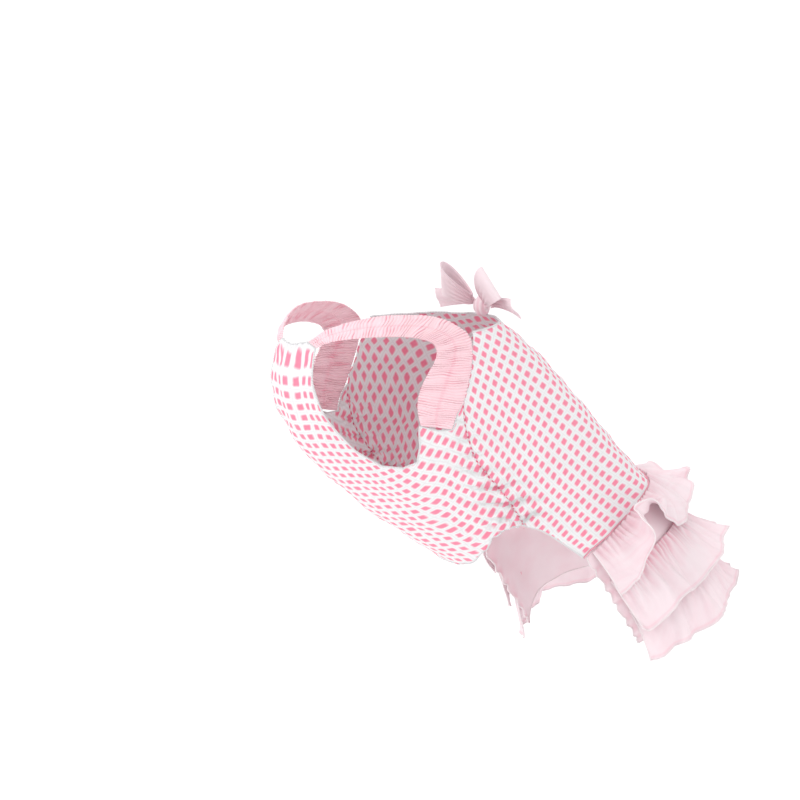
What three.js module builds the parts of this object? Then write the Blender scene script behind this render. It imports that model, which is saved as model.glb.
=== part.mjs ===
// Dress for a small dog: a check cotton body, shirred shoulder straps, a bow at the nape and a skirt of three
// gathered tiers, in the form that it has on a sitting dog.
// Millimetres, +Z up, X towards the tail, -Y the dog's left side. The origin is where the middle of the back
// panel's neck edge lies on the withers.
// The body is a stack of ovals. Each oval runs from the spine to the breast, "along" counts them from the
// neck (0) to the end of the back (1), and "angle" goes round from the spine (0 degrees) to the breast (180).

import * as THREE from 'three';
import { ParametricGeometry } from 'three/addons/geometries/ParametricGeometry.js';
import { mergeVertices } from 'three/addons/utils/BufferGeometryUtils.js';

// Driving sizes of the body
const backLength = 146;
const backSlope = 41.7;
const chestDepth = 125;
const bellyDrop = 124;
const bodyWidth = 90;

// Cloth thicknesses and the gap left at every seam
const cottonWall = 1.2;
const strapWall = 1.8;
const ruffleWall = 1.0;
const bowWall = 1.0;
const seamGap = 0.3;

// Shirring of the straps, and the gaps that they keep from the panels beside them and at their ends
const ribHeight = 0.7;
const ribCount = 16;
const strapEdgeGap = 0.8;
const strapEndGap = 0.6;

// Panel that carries the tiers: how far it drops and goes back, where its front edges are (degrees from the
// spine), how far its middle parts turn out to the side (degrees), and its reach and drop at the front edges
// as shares of those at the middle
const skirtDrop = 52;
const skirtReach = 32;
const skirtEdgeAngle = 111;
const skirtSpread = 22;
const skirtSideReach = 1.12;
const skirtSideDrop = 0.9;

// Tiers: depth of each from its gathered edge to its hem, and where their front edges are. Each leaves its
// seam down the panel and a little off it, by shares of its depth that grow with how far its hem goes
const topTierDepth = 27;
const middleTierDepth = 30;
const bottomTierDepth = 28;
const tierEdgeAngle = 106;
const tierFirstFall = 0.25;
const tierFallShare = 0.25;
const tierOutShare = 0.15;

// Bow: knot, two loops and two tails. waist: width at the knot as a share of the full width
const bowKnotRadius = 4.6;
const bowKnotShape = new THREE.Vector3(0.8, 1, 1.15);
const bowSetForward = 1.5;
const bowSetUp = 5.35;
const bowLoopLength = 25;
const bowLoopHeight = 19;
const bowLoopPuff = 4.2;
const bowLoopWaist = 0.3;
const bowLoopWaistPuff = 0.35;
const bowLoopRound = 0.8;
const bowTailLength = 27;
const bowTailWidth = 12;
const bowTailWaist = 0.35;
const bowTailRipple = 0.9;
const bowTailTwist = 0.4;
const bowTailSetback = 12;
const bowTailFirstSetback = 0.3;
const bowTailStart = 0.92;

// Directions of the left loop and the left tail: away from the knot, and across the band
const loopOut = new THREE.Vector3(-0.45, -0.73, 0.56).normalize();
const loopTall = new THREE.Vector3(-0.38, 0.36, 0.85).normalize();
const tailOut = new THREE.Vector3(-0.48, -0.88, -0.16).normalize();
const tailWide = new THREE.Vector3(0.45, -0.15, -0.88).normalize();

// Ovals of the body. along: share of the back; rise: bulge of the spine line, share of backLength; front:
// reach of the breast, share of chestDepth; low: its height, share of bellyDrop; girth: share of bodyWidth
const ovals = [
  { along: -0.16, rise: -0.030, front: -0.925, low: 0.090, girth: 0.76 },
  { along: 0.00, rise: 0.000, front: -1.000, low: -0.016, girth: 0.91 },
  { along: 0.25, rise: 0.022, front: -1.040, low: -0.210, girth: 0.96 },
  { along: 0.50, rise: 0.016, front: -0.890, low: -0.468, girth: 1.00 },
  { along: 0.75, rise: 0.001, front: -0.516, low: -0.766, girth: 1.00 },
  { along: 1.00, rise: 0.000, front: -0.119, low: -1.000, girth: 0.97 },
];

// Side edge of the back panel, downwards: strap edge, side seam, arch over the thigh, corner of the skirt
const sideEdge = [
  { along: 0.000, angle: 70.5 },
  { along: 0.064, angle: 76.0 },
  { along: 0.232, angle: 87.2 },
  { along: 0.339, angle: 96.0 },
  { along: 0.465, angle: 102.8 },
  { along: 0.582, angle: 108.0 },
  { along: 0.706, angle: 111.0 },
  { along: 0.790, angle: 114.0 },
  { along: 0.846, angle: 117.2 },
  { along: 0.885, angle: 113.8 },
  { along: 0.955, angle: 112.9 },
  { along: 1.043, angle: 112.5 },
];
const seamStart = 0.339;
const seamEnd = 0.846;
const backEndMiddle = 0.893;
const backEndSide = 1.043;
const backEndCurve = 2.2;

// Belly panel. Upper edge: side seam, strap end, armhole, strap end, top of the breast. Then the hem below it
const bellyTop = [
  { along: 0.339, angle: 96.0 },
  { along: 0.385, angle: 101.5 },
  { along: 0.444, angle: 107.2 },
  { along: 0.440, angle: 113.0 },
  { along: 0.412, angle: 118.7 },
  { along: 0.495, angle: 124.0 },
  { along: 0.548, angle: 130.0 },
  { along: 0.566, angle: 138.0 },
  { along: 0.550, angle: 146.0 },
  { along: 0.490, angle: 152.0 },
  { along: 0.400, angle: 155.8 },
  { along: 0.290, angle: 158.2 },
  { along: 0.180, angle: 159.6 },
  { along: 0.090, angle: 160.4 },
  { along: 0.024, angle: 161.0 },
  { along: -0.004, angle: 166.5 },
  { along: 0.006, angle: 173.0 },
  { along: 0.014, angle: 180.0 },
];
const bellyHem = [
  { across: 0.00, along: 0.846, angle: 117.2 },
  { across: 0.12, along: 0.846, angle: 123.0 },
  { across: 0.30, along: 0.866, angle: 134.0 },
  { across: 0.50, along: 0.915, angle: 146.0 },
  { across: 0.75, along: 0.968, angle: 162.0 },
  { across: 1.00, along: 0.992, angle: 180.0 },
];

// Left strap, from the belly panel over the shoulder to the breast: its outer and its armhole edge
const strapCourse = [
  { course: 0.00, outerAlong: 0.444, outerAngle: 107.2, innerAlong: 0.412, innerAngle: 118.7 },
  { course: 0.08, outerAlong: 0.385, outerAngle: 101.5, innerAlong: 0.350, innerAngle: 116.5 },
  { course: 0.15, outerAlong: 0.339, outerAngle: 96.0, innerAlong: 0.290, innerAngle: 113.4 },
  { course: 0.25, outerAlong: 0.232, outerAngle: 87.2, innerAlong: 0.202, innerAngle: 106.8 },
  { course: 0.36, outerAlong: 0.118, outerAngle: 80.0, innerAlong: 0.105, innerAngle: 99.5 },
  { course: 0.46, outerAlong: 0.000, outerAngle: 75.5, innerAlong: 0.030, innerAngle: 98.5 },
  { course: 0.56, outerAlong: -0.105, outerAngle: 85.0, innerAlong: -0.010, innerAngle: 106.0 },
  { course: 0.66, outerAlong: -0.145, outerAngle: 104.0, innerAlong: -0.028, innerAngle: 117.0 },
  { course: 0.78, outerAlong: -0.145, outerAngle: 128.0, innerAlong: -0.030, innerAngle: 133.0 },
  { course: 0.90, outerAlong: -0.085, outerAngle: 153.0, innerAlong: -0.012, innerAngle: 151.0 },
  { course: 1.00, outerAlong: -0.004, outerAngle: 166.5, innerAlong: 0.024, innerAngle: 161.0 },
];

// Folds pressed into the body, each a valley between two points. depth and width: shares of bodyWidth
const folds = [
  { fromAlong: 0.33, fromAngle: 74, toAlong: 0.73, toAngle: 104, depth: 0.024, width: 0.055 },
  { fromAlong: 0.52, fromAngle: 61, toAlong: 0.72, toAngle: 89, depth: 0.020, width: 0.050 },
  { fromAlong: 0.58, fromAngle: 44, toAlong: 0.82, toAngle: 69, depth: 0.018, width: 0.055 },
  { fromAlong: 0.76, fromAngle: 77, toAlong: 0.88, toAngle: 108, depth: 0.022, width: 0.050 },
  { fromAlong: 0.46, fromAngle: 106, toAlong: 0.90, toAngle: 160, depth: 0.034, width: 0.060 },
  { fromAlong: 0.05, fromAngle: 170, toAlong: 0.40, toAngle: 168, depth: 0.016, width: 0.060 },
];

// Hems of the tiers, from the middle of the back (across 0) to the front edge (1). fall, out and fore: how
// far the hem lies down the panel, off it and towards the front edge, as shares of the tier's depth
const topHem = [
  { across: 0.000, fall: 0.76, out: 0.54, fore: 0.00 },
  { across: 0.047, fall: 0.66, out: 0.72, fore: 0.32 },
  { across: 0.094, fall: 0.80, out: 0.58, fore: 0.05 },
  { across: 0.151, fall: 0.90, out: 0.55, fore: -0.05 },
  { across: 0.208, fall: 0.92, out: 0.30, fore: 0.00 },
  { across: 0.255, fall: 0.93, out: 0.16, fore: 0.03 },
  { across: 0.302, fall: 0.92, out: 0.13, fore: 0.28 },
  { across: 0.349, fall: 0.82, out: 0.14, fore: 0.52 },
  { across: 0.396, fall: 0.70, out: 0.16, fore: 0.60 },
  { across: 0.443, fall: 0.33, out: 0.28, fore: 0.70 },
  { across: 0.491, fall: 0.05, out: 0.55, fore: 0.80 },
  { across: 0.566, fall: -0.28, out: 0.68, fore: 0.72 },
  { across: 0.623, fall: -0.30, out: 0.62, fore: 0.75 },
  { across: 0.679, fall: -0.08, out: 0.80, fore: 0.58 },
  { across: 0.755, fall: 0.35, out: 0.75, fore: 0.20 },
  { across: 0.811, fall: 0.60, out: 0.38, fore: 0.05 },
  { across: 0.868, fall: 0.84, out: 0.25, fore: 0.05 },
  { across: 0.925, fall: 0.92, out: 0.18, fore: 0.00 },
  { across: 1.000, fall: 0.94, out: 0.14, fore: 0.04 },
];
const middleHem = [
  { across: 0.000, fall: 0.96, out: 0.22, fore: 0.00 },
  { across: 0.094, fall: 0.92, out: 0.44, fore: 0.10 },
  { across: 0.170, fall: 0.97, out: 0.36, fore: 0.10 },
  { across: 0.226, fall: 0.92, out: 0.54, fore: -0.05 },
  { across: 0.283, fall: 0.90, out: 0.36, fore: 0.00 },
  { across: 0.340, fall: 0.90, out: 0.34, fore: 0.02 },
  { across: 0.396, fall: 0.97, out: 0.31, fore: 0.02 },
  { across: 0.453, fall: 0.95, out: 0.29, fore: 0.02 },
  { across: 0.509, fall: 0.97, out: 0.20, fore: 0.05 },
  { across: 0.566, fall: 1.00, out: 0.14, fore: 0.22 },
  { across: 0.642, fall: 1.00, out: 0.14, fore: 0.22 },
  { across: 0.698, fall: 0.96, out: 0.22, fore: 0.05 },
  { across: 0.774, fall: 0.94, out: 0.26, fore: 0.07 },
  { across: 0.830, fall: 0.98, out: 0.32, fore: 0.10 },
  { across: 0.887, fall: 1.03, out: 0.28, fore: 0.15 },
  { across: 0.943, fall: 1.06, out: 0.22, fore: 0.15 },
  { across: 1.000, fall: 0.98, out: 0.20, fore: 0.00 },
];
const bottomHem = [
  { across: 0.000, fall: 0.95, out: 0.22, fore: 0.00 },
  { across: 0.113, fall: 0.90, out: 0.46, fore: 0.14 },
  { across: 0.189, fall: 0.96, out: 0.32, fore: 0.08 },
  { across: 0.245, fall: 0.94, out: 0.46, fore: -0.06 },
  { across: 0.302, fall: 1.03, out: 0.28, fore: 0.00 },
  { across: 0.358, fall: 1.02, out: 0.16, fore: 0.02 },
  { across: 0.415, fall: 1.06, out: 0.09, fore: 0.02 },
  { across: 0.472, fall: 1.10, out: 0.06, fore: 0.02 },
  { across: 0.538, fall: 1.10, out: 0.14, fore: 0.12 },
  { across: 0.604, fall: 1.08, out: 0.28, fore: 0.32 },
  { across: 0.660, fall: 1.08, out: 0.16, fore: 0.28 },
  { across: 0.717, fall: 1.05, out: 0.08, fore: 0.30 },
  { across: 0.783, fall: 1.05, out: 0.24, fore: 0.24 },
  { across: 0.849, fall: 1.03, out: 0.13, fore: 0.25 },
  { across: 0.925, fall: 1.03, out: 0.27, fore: 0.20 },
  { across: 1.000, fall: 1.00, out: 0.20, fore: 0.15 },
];

// start: share of the skirt panel where the tier is gathered on; spring: how far it leaves the panel there
const tiers = [
  { name: 'skirt_tier_top', hem: topHem, depth: topTierDepth, start: 0.03, spring: 0.20 },
  { name: 'skirt_tier_middle', hem: middleHem, depth: middleTierDepth, start: 0.34, spring: 0.05 },
  { name: 'skirt_tier_bottom', hem: bottomHem, depth: bottomTierDepth, start: 0.67, spring: 0.05 },
];

const radians = THREE.MathUtils.degToRad;
const lerp = THREE.MathUtils.lerp;
const unitX = new THREE.Vector3(1, 0, 0);
const unitY = new THREE.Vector3(0, 1, 0);
const unitZ = new THREE.Vector3(0, 0, 1);

// Smooth curve through one column of a table, straight on beyond its ends
function track(rows, key, column) {
  const knots = rows.map((row) => row[key]);
  const values = rows.map((row) => row[column]);
  const last = rows.length - 1;
  const slopes = values.map((value, i) => {
    const before = Math.max(i - 1, 0);
    const after = Math.min(i + 1, last);
    return (values[after] - values[before]) / (knots[after] - knots[before]);
  });
  return (at) => {
    if (at <= knots[0]) return values[0] + slopes[0] * (at - knots[0]);
    if (at >= knots[last]) return values[last] + slopes[last] * (at - knots[last]);
    const i = knots.findIndex((knot) => knot > at) - 1;
    const span = knots[i + 1] - knots[i];
    const s = (at - knots[i]) / span;
    const start = (1 + 2 * s) * (1 - s) ** 2 * values[i] + s * s * (3 - 2 * s) * values[i + 1];
    return start + span * s * (1 - s) * ((1 - s) * slopes[i] - s * slopes[i + 1]);
  };
}

const ovalRise = track(ovals, 'along', 'rise');
const ovalFront = track(ovals, 'along', 'front');
const ovalLow = track(ovals, 'along', 'low');
const ovalGirth = track(ovals, 'along', 'girth');
const sideAngle = track(sideEdge, 'along', 'angle');

// Point of the plain body: an oval between the spine and the breast. Negative angles are the dog's left side
function bodyPoint(along, angle) {
  const slope = radians(backSlope);
  const run = along * backLength;
  const bulge = ovalRise(along) * backLength;
  const spine = new THREE.Vector3(
    run * Math.cos(slope) + bulge * Math.sin(slope), 0, bulge * Math.cos(slope) - run * Math.sin(slope));
  const breast = new THREE.Vector3(ovalFront(along) * chestDepth, 0, ovalLow(along) * bellyDrop);
  const middle = spine.clone().add(breast).multiplyScalar(0.5);
  const reach = spine.sub(breast).multiplyScalar(0.5);
  return middle.addScaledVector(reach, Math.cos(radians(angle)))
    .addScaledVector(unitY, Math.sin(radians(angle)) * ovalGirth(along) * bodyWidth / 2);
}

// Unit vector out of the body
function bodyNormal(along, angle) {
  const step = 0.01;
  const down = bodyPoint(along + step, angle).sub(bodyPoint(along - step, angle));
  const round = bodyPoint(along, angle + 1).sub(bodyPoint(along, angle - 1));
  return down.cross(round).normalize();
}

// Depth of the folds at a point: each is a soft valley that fades towards both its ends
function foldDepth(along, angle) {
  const girthPerDegree = bodyWidth / 2 * Math.PI / 180;
  let depth = 0;
  for (const fold of folds) {
    const dx = (fold.toAngle - fold.fromAngle) * girthPerDegree;
    const dy = (fold.toAlong - fold.fromAlong) * backLength;
    const px = (Math.abs(angle) - fold.fromAngle) * girthPerDegree;
    const py = (along - fold.fromAlong) * backLength;
    const length = Math.hypot(dx, dy);
    const share = (px * dx + py * dy) / length ** 2;
    if (share <= 0 || share >= 1) continue;
    const aside = Math.abs(px * dy - py * dx) / length / (fold.width * bodyWidth);
    depth += fold.depth * bodyWidth * Math.sin(Math.PI * share) * Math.exp(-aside * aside);
  }
  return depth;
}

// Inner face of the cloth on the body
function clothPoint(along, angle) {
  const folded = angle > 180 ? angle - 360 : angle;
  return bodyPoint(along, angle).addScaledVector(bodyNormal(along, angle), -foldDepth(along, folded));
}

// Signed volume of a closed mesh, positive when its faces point out
function signedVolume(points, faces) {
  let sum = 0;
  for (let i = 0; i < faces.length; i += 3) {
    const [a, b, c] = [points[faces[i]], points[faces[i + 1]], points[faces[i + 2]]];
    sum += a.dot(b.clone().cross(c));
  }
  return sum / 6;
}

// Cloth of real thickness: a sheet worked out from surface(u, v, target), copied at two heights above itself
// and closed round its edges. A looped sheet meets itself where u ends, and has edges only along v
function clothGeometry(surface, columns, rows, lower, upper, looped = false) {
  const sheet = new ParametricGeometry(surface, columns, rows);
  const place = sheet.attributes.position;
  const normal = sheet.attributes.normal;
  const wide = columns + 1;
  const points = [];
  for (const height of [lower, upper]) {
    for (let i = 0; i < place.count; i += 1) {
      const k = looped && i % wide === columns ? i - columns : i;
      const out = new THREE.Vector3().fromBufferAttribute(normal, k);
      points.push(new THREE.Vector3().fromBufferAttribute(place, k).addScaledVector(out, height));
    }
  }
  const faces = [];
  const quad = (a, b, c, d) => faces.push(a, b, c, a, c, d);
  for (let j = 0; j < rows; j += 1) {
    for (let i = 0; i < columns; i += 1) {
      const a = j * wide + i;
      const b = a + place.count;
      quad(a, a + wide, a + wide + 1, a + 1);
      quad(b, b + 1, b + wide + 1, b + wide);
    }
  }
  for (let i = 0; i < columns; i += 1) {
    const end = rows * wide + i;
    quad(i, i + 1, i + 1 + place.count, i + place.count);
    quad(end + 1, end, end + place.count, end + 1 + place.count);
  }
  for (let j = 0; j < rows && !looped; j += 1) {
    const a = j * wide;
    const b = a + columns;
    quad(a + wide, a, a + place.count, a + wide + place.count);
    quad(b, b + wide, b + wide + place.count, b + place.count);
  }
  return closedGeometry(points, faces);
}

// Mesh geometry from points and faces, with doubles merged and all faces turned out
function closedGeometry(points, faces) {
  if (signedVolume(points, faces) < 0) faces.reverse();
  const geometry = new THREE.BufferGeometry();
  geometry.setAttribute('position', new THREE.Float32BufferAttribute(points.flatMap((p) => p.toArray()), 3));
  geometry.setIndex(faces);
  const merged = mergeVertices(geometry, 1e-4);
  merged.computeVertexNormals();
  return merged;
}

// The same piece on the dog's other side
function mirroredGeometry(geometry) {
  const place = geometry.attributes.position;
  const points = [];
  for (let i = 0; i < place.count; i += 1) {
    points.push(new THREE.Vector3(place.getX(i), -place.getY(i), place.getZ(i)));
  }
  return closedGeometry(points, Array.from(geometry.index.array));
}

const gapAngle = seamGap / bodyWidth * 180 / Math.PI;
const gapAlong = seamGap / 2 / backLength;

// Back panel: across goes from one side edge (-1) over the spine to the other (1), down from neck to skirt
function backPanelGeometry() {
  const columns = 34;
  const rows = 17;
  return clothGeometry((u, v, target) => {
    const across = 1 - 2 * u;
    const end = lerp(backEndMiddle, backEndSide, Math.abs(across) ** backEndCurve) - gapAlong;
    const angle = across * (sideAngle(v * backEndSide) - gapAngle);
    target.copy(clothPoint(v * end, angle));
  }, columns, rows, 0, cottonWall);
}

// Belly panel: columns run from the upper edge, round the armholes, to the hem under the belly
function bellyPanelGeometry() {
  const half = bellyTop.length - 1;
  const rows = 11;
  const hemAlong = track(bellyHem, 'across', 'along');
  const hemAngle = track(bellyHem, 'across', 'angle');
  return clothGeometry((u, v, target) => {
    const across = 1 - Math.abs(2 * u - 1);
    const place = Math.min(across * half, half - 1e-9);
    const i = Math.floor(place);
    const share = place - i;
    const topAlong = lerp(bellyTop[i].along, bellyTop[i + 1].along, share);
    const topAngle = lerp(bellyTop[i].angle, bellyTop[i + 1].angle, share);
    const seamAlong = lerp(seamStart, seamEnd, v);
    const seamBow = sideAngle(seamAlong) - lerp(sideAngle(seamStart), sideAngle(seamEnd), v);
    const along = lerp(topAlong, hemAlong(across), v);
    const plain = lerp(topAngle, hemAngle(across), v) + seamBow * (1 - across) ** 3;
    const angle = plain + gapAngle * (1 - across) ** 3;
    target.copy(clothPoint(along, u < 0.5 ? 360 - angle : angle));
  }, 2 * half, rows, 0, cottonWall);
}

// Left strap: a shirred band over the shoulder, ribbed across its length
function strapGeometry() {
  const columns = 3 * ribCount;
  const rows = 3;
  const outerAlong = track(strapCourse, 'course', 'outerAlong');
  const outerAngle = track(strapCourse, 'course', 'outerAngle');
  const innerAlong = track(strapCourse, 'course', 'innerAlong');
  const innerAngle = track(strapCourse, 'course', 'innerAngle');
  const endGap = strapEndGap / backLength;
  const edgeGap = strapEdgeGap / bodyWidth * 180 / Math.PI;
  return clothGeometry((u, v, target) => {
    const rib = Math.sin(2 * Math.PI * ribCount * u);
    const course = lerp(endGap, 1 - endGap, u);
    const edge = edgeGap * (1 - 2 * v);
    const angle = lerp(outerAngle(course), innerAngle(course), v) + edge;
    const along = lerp(outerAlong(course), innerAlong(course), v);
    const height = ribHeight * (1 + rib) / 2;
    target.copy(clothPoint(along, -angle)).addScaledVector(bodyNormal(along, -angle), height);
  }, columns, rows, 0, strapWall);
}

// Level direction in which the skirt goes: straight back in the middle and at its front edges, and turned out
// to the side between them by the spread
function skirtHeading(angle) {
  const share = Math.min(Math.abs(angle) / skirtEdgeAngle, 1);
  const turn = skirtSpread * Math.sin(Math.PI * share) * Math.sign(angle);
  return unitX.clone().applyAxisAngle(unitZ, radians(turn));
}

// Inner face of the panel that carries the tiers; down goes from the seam (0) to its free end (1)
function skirtPoint(angle, down) {
  const across = Math.abs(angle) / skirtEdgeAngle;
  const along = lerp(backEndMiddle, backEndSide, across ** backEndCurve) + gapAlong;
  const reach = skirtReach * lerp(Math.sin(Math.PI / 2 * down), skirtSideReach * down, across);
  const drop = skirtDrop * down * lerp(1, skirtSideDrop, across);
  return bodyPoint(along, angle).addScaledVector(skirtHeading(angle), reach).addScaledVector(unitZ, -drop);
}

// Unit vectors on the skirt panel: down it, round it and out of it
function skirtFrame(angle, down) {
  const step = 0.01;
  const fall = skirtPoint(angle, down + step).sub(skirtPoint(angle, down - step)).normalize();
  const round = skirtPoint(angle + 1, down).sub(skirtPoint(angle - 1, down)).normalize();
  const out = fall.clone().cross(round).normalize();
  return { fall, round, out };
}

function skirtBaseGeometry() {
  const columns = 30;
  const rows = 4;
  return clothGeometry((u, v, target) => {
    target.copy(skirtPoint(lerp(skirtEdgeAngle, -skirtEdgeAngle, u), v));
  }, columns, rows, 0, ruffleWall);
}

// One tier: gathered on along a line of the skirt panel, it bends from there to its hem. Columns are shared
// out evenly between the rows of its hem's table, and both sides are alike
function tierGeometry(tier) {
  const columnsPerRow = 2;
  const rows = 4;
  const last = tier.hem.length - 1;
  const hemFall = track(tier.hem, 'across', 'fall');
  const hemOut = track(tier.hem, 'across', 'out');
  const hemFore = track(tier.hem, 'across', 'fore');
  return clothGeometry((u, v, target) => {
    const side = u < 0.5 ? 1 : -1;
    const place = Math.min(Math.abs(2 * u - 1) * last, last - 1e-9);
    const i = Math.floor(place);
    const across = lerp(tier.hem[i].across, tier.hem[i + 1].across, place - i);
    const angle = side * tierEdgeAngle * across;
    const { fall, round, out } = skirtFrame(angle, tier.start);
    const first = tier.depth * 2 * v * (1 - v);
    const second = tier.depth * v * v;
    const firstFall = tierFirstFall + tierFallShare * hemFall(across);
    const firstOut = tier.spring + tierOutShare * hemOut(across);
    target.copy(skirtPoint(angle, tier.start))
      .addScaledVector(out, ruffleWall + seamGap)
      .addScaledVector(fall, first * firstFall + second * hemFall(across))
      .addScaledVector(out, first * firstOut + second * hemOut(across))
      .addScaledVector(round, second * side * hemFore(across));
  }, 2 * columnsPerRow * last, rows, 0, ruffleWall);
}

// Middle of the bow, standing on the neck edge of the back panel
const bowMiddle = new THREE.Vector3(-bowSetForward, 0, bowSetUp);

function bowKnotGeometry() {
  const knot = new THREE.SphereGeometry(bowKnotRadius, 14, 10);
  knot.scale(bowKnotShape.x, bowKnotShape.y, bowKnotShape.z);
  knot.deleteAttribute('normal');
  knot.deleteAttribute('uv');
  const merged = mergeVertices(knot, 1e-4);
  merged.computeVertexNormals();
  return merged;
}

// Left loop: a band that goes out from the knot, turns and comes back, narrow at the knot and wide at its end
function bowLoopGeometry() {
  const columns = 18;
  const rows = 3;
  const thick = loopOut.clone().cross(loopTall).normalize();
  const start = bowKnotRadius + seamGap + bowWall;
  return clothGeometry((u, v, target) => {
    const turn = 2 * Math.PI * u;
    const reach = 0.5 - 0.5 * Math.cos(turn);
    const puff = bowLoopPuff * Math.sin(turn) * lerp(bowLoopWaistPuff, 1, reach);
    const height = bowLoopHeight * lerp(bowLoopWaist, 1, reach ** bowLoopRound) * (v - 0.5);
    target.copy(bowMiddle).addScaledVector(loopOut, lerp(start, bowLoopLength, reach))
      .addScaledVector(thick, puff).addScaledVector(loopTall, height);
  }, columns, rows, 0, bowWall, true);
}

// Left tail: a flat end of the ribbon under the loop, rippled and cut square
function bowTailGeometry() {
  const columns = 7;
  const rows = 4;
  const thick = tailOut.clone().cross(tailWide).normalize();
  const start = bowTailStart * bowKnotRadius + seamGap;
  return clothGeometry((u, v, target) => {
    const width = bowTailWidth * lerp(bowTailWaist, 1, u) * (v - 0.5);
    const ripple = bowTailRipple * u * Math.sin(2 * Math.PI * (v + bowTailTwist * u));
    const setback = bowTailSetback * lerp(bowTailFirstSetback, 1, Math.sqrt(u));
    target.copy(bowMiddle).addScaledVector(tailOut, lerp(start, bowTailLength, u))
      .addScaledVector(tailWide, width).addScaledVector(thick, ripple + setback);
  }, columns, rows, 0, bowWall);
}

const checkCotton = { color: 0xf9c6d2, roughness: 0.9, metalness: 0 };
const shirredCotton = { color: 0xf7b3c3, roughness: 0.85, metalness: 0 };
const ruffleVoile = { color: 0xf9dde3, roughness: 0.85, metalness: 0 };
const bowVoile = { color: 0xf3dfe4, roughness: 0.8, metalness: 0 };

function piece(name, geometry, cloth) {
  const mesh = new THREE.Mesh(geometry, new THREE.MeshStandardMaterial(cloth));
  mesh.name = name;
  return mesh;
}

const bodice = new THREE.Group();
const strap = strapGeometry();
bodice.add(
  piece('back_panel', backPanelGeometry(), checkCotton),
  piece('belly_panel', bellyPanelGeometry(), checkCotton),
  piece('shoulder_strap_left', strap, shirredCotton),
  piece('shoulder_strap_right', mirroredGeometry(strap), shirredCotton),
);

const skirt = new THREE.Group();
skirt.add(piece('skirt_base', skirtBaseGeometry(), ruffleVoile));
for (const tier of tiers) skirt.add(piece(tier.name, tierGeometry(tier), ruffleVoile));

const bow = new THREE.Group();
const knot = piece('bow_knot', bowKnotGeometry(), bowVoile);
knot.position.copy(bowMiddle);
const loop = bowLoopGeometry();
const tail = bowTailGeometry();
bow.add(
  knot,
  piece('bow_loop_left', loop, bowVoile),
  piece('bow_loop_right', mirroredGeometry(loop), bowVoile),
  piece('bow_tail_left', tail, bowVoile),
  piece('bow_tail_right', mirroredGeometry(tail), bowVoile),
);

const dress = new THREE.Group();
dress.add(bodice, skirt, bow);

export default dress;
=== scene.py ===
"""Dress for a small dog: check cotton body, shirred shoulder straps, bow at the nape and a skirt of three
gathered voile tiers, in the form that it has on a sitting dog.

Metres, +Z up, X towards the tail, -Y the dog's left side. "along" counts the ovals of the body from the neck
(0) to the end of the back (1), and "angle" goes round each oval in degrees, from the spine (0) to the breast
(180), negative on the dog's left side. Sizes and tables are those of the solids that the cloth replaces.
"""

import bpy
import numpy as np
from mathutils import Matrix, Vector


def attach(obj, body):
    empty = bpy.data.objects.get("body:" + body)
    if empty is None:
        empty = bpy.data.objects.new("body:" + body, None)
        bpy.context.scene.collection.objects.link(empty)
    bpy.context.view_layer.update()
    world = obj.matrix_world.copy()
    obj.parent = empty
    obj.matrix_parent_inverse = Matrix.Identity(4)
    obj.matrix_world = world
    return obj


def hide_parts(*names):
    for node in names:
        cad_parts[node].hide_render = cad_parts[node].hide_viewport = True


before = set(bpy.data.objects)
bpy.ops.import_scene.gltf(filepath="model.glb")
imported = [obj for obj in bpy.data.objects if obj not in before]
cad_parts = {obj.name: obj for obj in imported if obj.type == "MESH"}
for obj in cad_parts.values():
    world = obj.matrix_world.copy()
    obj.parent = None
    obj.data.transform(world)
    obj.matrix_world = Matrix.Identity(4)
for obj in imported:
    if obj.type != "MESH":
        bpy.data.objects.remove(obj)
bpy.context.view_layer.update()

MM = 0.001

# Driving sizes of the body
BACK_LENGTH = 146 * MM
BACK_SLOPE = np.radians(41.7)
CHEST_DEPTH = 125 * MM
BELLY_DROP = 124 * MM
BODY_WIDTH = 90 * MM
GIRTH_PER_DEGREE = BODY_WIDTH / 2 * np.pi / 180
SEAM_GAP = 0.3 * MM

# Cloth: real thickness as it shows, and how far its middle stands off the inner face of the solid
COTTON_THICK = 0.5 * MM
COTTON_STAND = 0.75 * MM
VOILE_THICK = 0.35 * MM
VOILE_STAND = 0.5 * MM
STRAP_STAND = 0.9 * MM

# Skirt
SKIRT_DROP = 52 * MM
SKIRT_REACH = 32 * MM
SKIRT_EDGE_ANGLE = 111
SKIRT_SPREAD = 22
SKIRT_SIDE_REACH = 1.12
SKIRT_SIDE_DROP = 0.9
TIER_EDGE_ANGLE = 106
TIER_FIRST_FALL = 0.25
TIER_FALL_SHARE = 0.25
TIER_OUT_SHARE = 0.15
RUFFLE_WALL = 1.0 * MM

# Bow
KNOT_RADIUS = 4.6 * MM
BOW_FORWARD = 1.5 * MM
BOW_SET_UP = 5.35 * MM
LOOP_LENGTH = 25 * MM
LOOP_HEIGHT = 19 * MM
LOOP_PUFF = 4.2 * MM
TAIL_LENGTH = 27 * MM
TAIL_WIDTH = 12 * MM
TAIL_SETBACK = 12 * MM

# Relief of the cloth
STRAP_GATHERS = 84
STRAP_GATHER_HEIGHT = 0.7 * MM
CRUMPLE_HEIGHT = 1.25 * MM
CRUMPLE_PITCH = 5.2 * MM
CRUMPLE_REACH = 9 * MM
SEAM_VALLEY_DEPTH = 0.5 * MM
SEAM_VALLEY_REACH = 0.9 * MM
BREAST_PLEAT_PITCH = 3.4 * MM
BREAST_PLEAT_HEIGHT = 0.5 * MM
BUNCH_HEIGHT = 0.8 * MM
TUCK_HEIGHT = 0.75 * MM
CREASE_HEIGHT = 1.15 * MM
FLUTTER_HEIGHT = 0.5 * MM
SEWN_EDGE_IN = 0.9 * MM

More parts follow.
